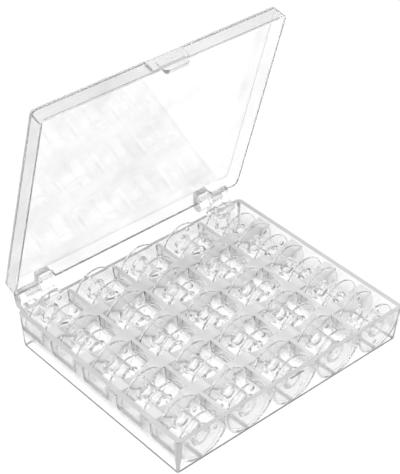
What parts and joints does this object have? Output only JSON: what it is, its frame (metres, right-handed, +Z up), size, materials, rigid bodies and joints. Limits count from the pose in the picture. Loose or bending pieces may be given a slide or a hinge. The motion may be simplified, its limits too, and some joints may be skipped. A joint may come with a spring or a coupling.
{
  "type": "bobbin storage box",
  "caption": "Clear hinged plastic box with a snap latch and a grid of half-round pockets, each holding an empty sewing machine bobbin, with the lid standing open.",
  "frame": {"origin": "middle of the open box's footprint, on the plane that the tray stands on", "axes": "+Z up; X along the lid's hinges, +X to the right seen from the latch side; -Y towards the latch side, +Y towards the hinges"},
  "size_m": [0.122, 0.107, 0.1215],
  "materials": {
    "box_plastic": "crystal-clear moulded polystyrene, glossy",
    "bobbin_plastic": "crystal-clear moulded plastic, glossy"
  },
  "bodies": {
    "tray": {"tray": "box_plastic"},
    "lid": {"lid": "box_plastic"},
    "bobbin_row1_column1": {"bobbin_row1_column1": "bobbin_plastic"},
    "bobbin_row1_column2": {"bobbin_row1_column2": "bobbin_plastic"},
    "bobbin_row1_column3": {"bobbin_row1_column3": "bobbin_plastic"},
    "bobbin_row1_column4": {"bobbin_row1_column4": "bobbin_plastic"},
    "bobbin_row1_column5": {"bobbin_row1_column5": "bobbin_plastic"},
    "bobbin_row2_column1": {"bobbin_row2_column1": "bobbin_plastic"},
    "bobbin_row2_column2": {"bobbin_row2_column2": "bobbin_plastic"},
    "bobbin_row2_column3": {"bobbin_row2_column3": "bobbin_plastic"},
    "bobbin_row2_column4": {"bobbin_row2_column4": "bobbin_plastic"},
    "bobbin_row2_column5": {"bobbin_row2_column5": "bobbin_plastic"},
    "bobbin_row3_column1": {"bobbin_row3_column1": "bobbin_plastic"},
    "bobbin_row3_column2": {"bobbin_row3_column2": "bobbin_plastic"},
    "bobbin_row3_column3": {"bobbin_row3_column3": "bobbin_plastic"},
    "bobbin_row3_column4": {"bobbin_row3_column4": "bobbin_plastic"},
    "bobbin_row3_column5": {"bobbin_row3_column5": "bobbin_plastic"},
    "bobbin_row4_column1": {"bobbin_row4_column1": "bobbin_plastic"},
    "bobbin_row4_column2": {"bobbin_row4_column2": "bobbin_plastic"},
    "bobbin_row4_column3": {"bobbin_row4_column3": "bobbin_plastic"},
    "bobbin_row4_column4": {"bobbin_row4_column4": "bobbin_plastic"},
    "bobbin_row4_column5": {"bobbin_row4_column5": "bobbin_plastic"},
    "bobbin_row5_column1": {"bobbin_row5_column1": "bobbin_plastic"},
    "bobbin_row5_column2": {"bobbin_row5_column2": "bobbin_plastic"},
    "bobbin_row5_column3": {"bobbin_row5_column3": "bobbin_plastic"},
    "bobbin_row5_column4": {"bobbin_row5_column4": "bobbin_plastic"},
    "bobbin_row5_column5": {"bobbin_row5_column5": "bobbin_plastic"}
  },
  "joints": [
    {"name": "lid_hinge", "type": "hinge", "parent": "tray", "child": "lid", "pos_m": [0, 0.05005, 0.0194], "axis": [-1, 0, 0], "range_deg": [-76, 104]},
    {"name": "lift_row1_column1", "type": "slide", "parent": "tray", "child": "bobbin_row1_column1", "axis": [0, 0, 1], "range_m": [0, 0.025]},
    {"name": "lift_row1_column2", "type": "slide", "parent": "tray", "child": "bobbin_row1_column2", "axis": [0, 0, 1], "range_m": [0, 0.025]},
    {"name": "lift_row1_column3", "type": "slide", "parent": "tray", "child": "bobbin_row1_column3", "axis": [0, 0, 1], "range_m": [0, 0.025]},
    {"name": "lift_row1_column4", "type": "slide", "parent": "tray", "child": "bobbin_row1_column4", "axis": [0, 0, 1], "range_m": [0, 0.025]},
    {"name": "lift_row1_column5", "type": "slide", "parent": "tray", "child": "bobbin_row1_column5", "axis": [0, 0, 1], "range_m": [0, 0.025]},
    {"name": "lift_row2_column1", "type": "slide", "parent": "tray", "child": "bobbin_row2_column1", "axis": [0, 0, 1], "range_m": [0, 0.025]},
    {"name": "lift_row2_column2", "type": "slide", "parent": "tray", "child": "bobbin_row2_column2", "axis": [0, 0, 1], "range_m": [0, 0.025]},
    {"name": "lift_row2_column3", "type": "slide", "parent": "tray", "child": "bobbin_row2_column3", "axis": [0, 0, 1], "range_m": [0, 0.025]},
    {"name": "lift_row2_column4", "type": "slide", "parent": "tray", "child": "bobbin_row2_column4", "axis": [0, 0, 1], "range_m": [0, 0.025]},
    {"name": "lift_row2_column5", "type": "slide", "parent": "tray", "child": "bobbin_row2_column5", "axis": [0, 0, 1], "range_m": [0, 0.025]},
    {"name": "lift_row3_column1", "type": "slide", "parent": "tray", "child": "bobbin_row3_column1", "axis": [0, 0, 1], "range_m": [0, 0.025]},
    {"name": "lift_row3_column2", "type": "slide", "parent": "tray", "child": "bobbin_row3_column2", "axis": [0, 0, 1], "range_m": [0, 0.025]},
    {"name": "lift_row3_column3", "type": "slide", "parent": "tray", "child": "bobbin_row3_column3", "axis": [0, 0, 1], "range_m": [0, 0.025]},
    {"name": "lift_row3_column4", "type": "slide", "parent": "tray", "child": "bobbin_row3_column4", "axis": [0, 0, 1], "range_m": [0, 0.025]},
    {"name": "lift_row3_column5", "type": "slide", "parent": "tray", "child": "bobbin_row3_column5", "axis": [0, 0, 1], "range_m": [0, 0.025]},
    {"name": "lift_row4_column1", "type": "slide", "parent": "tray", "child": "bobbin_row4_column1", "axis": [0, 0, 1], "range_m": [0, 0.025]},
    {"name": "lift_row4_column2", "type": "slide", "parent": "tray", "child": "bobbin_row4_column2", "axis": [0, 0, 1], "range_m": [0, 0.025]},
    {"name": "lift_row4_column3", "type": "slide", "parent": "tray", "child": "bobbin_row4_column3", "axis": [0, 0, 1], "range_m": [0, 0.025]},
    {"name": "lift_row4_column4", "type": "slide", "parent": "tray", "child": "bobbin_row4_column4", "axis": [0, 0, 1], "range_m": [0, 0.025]},
    {"name": "lift_row4_column5", "type": "slide", "parent": "tray", "child": "bobbin_row4_column5", "axis": [0, 0, 1], "range_m": [0, 0.025]},
    {"name": "lift_row5_column1", "type": "slide", "parent": "tray", "child": "bobbin_row5_column1", "axis": [0, 0, 1], "range_m": [0, 0.025]},
    {"name": "lift_row5_column2", "type": "slide", "parent": "tray", "child": "bobbin_row5_column2", "axis": [0, 0, 1], "range_m": [0, 0.025]},
    {"name": "lift_row5_column3", "type": "slide", "parent": "tray", "child": "bobbin_row5_column3", "axis": [0, 0, 1], "range_m": [0, 0.025]},
    {"name": "lift_row5_column4", "type": "slide", "parent": "tray", "child": "bobbin_row5_column4", "axis": [0, 0, 1], "range_m": [0, 0.025]},
    {"name": "lift_row5_column5", "type": "slide", "parent": "tray", "child": "bobbin_row5_column5", "axis": [0, 0, 1], "range_m": [0, 0.025]}
  ]
}
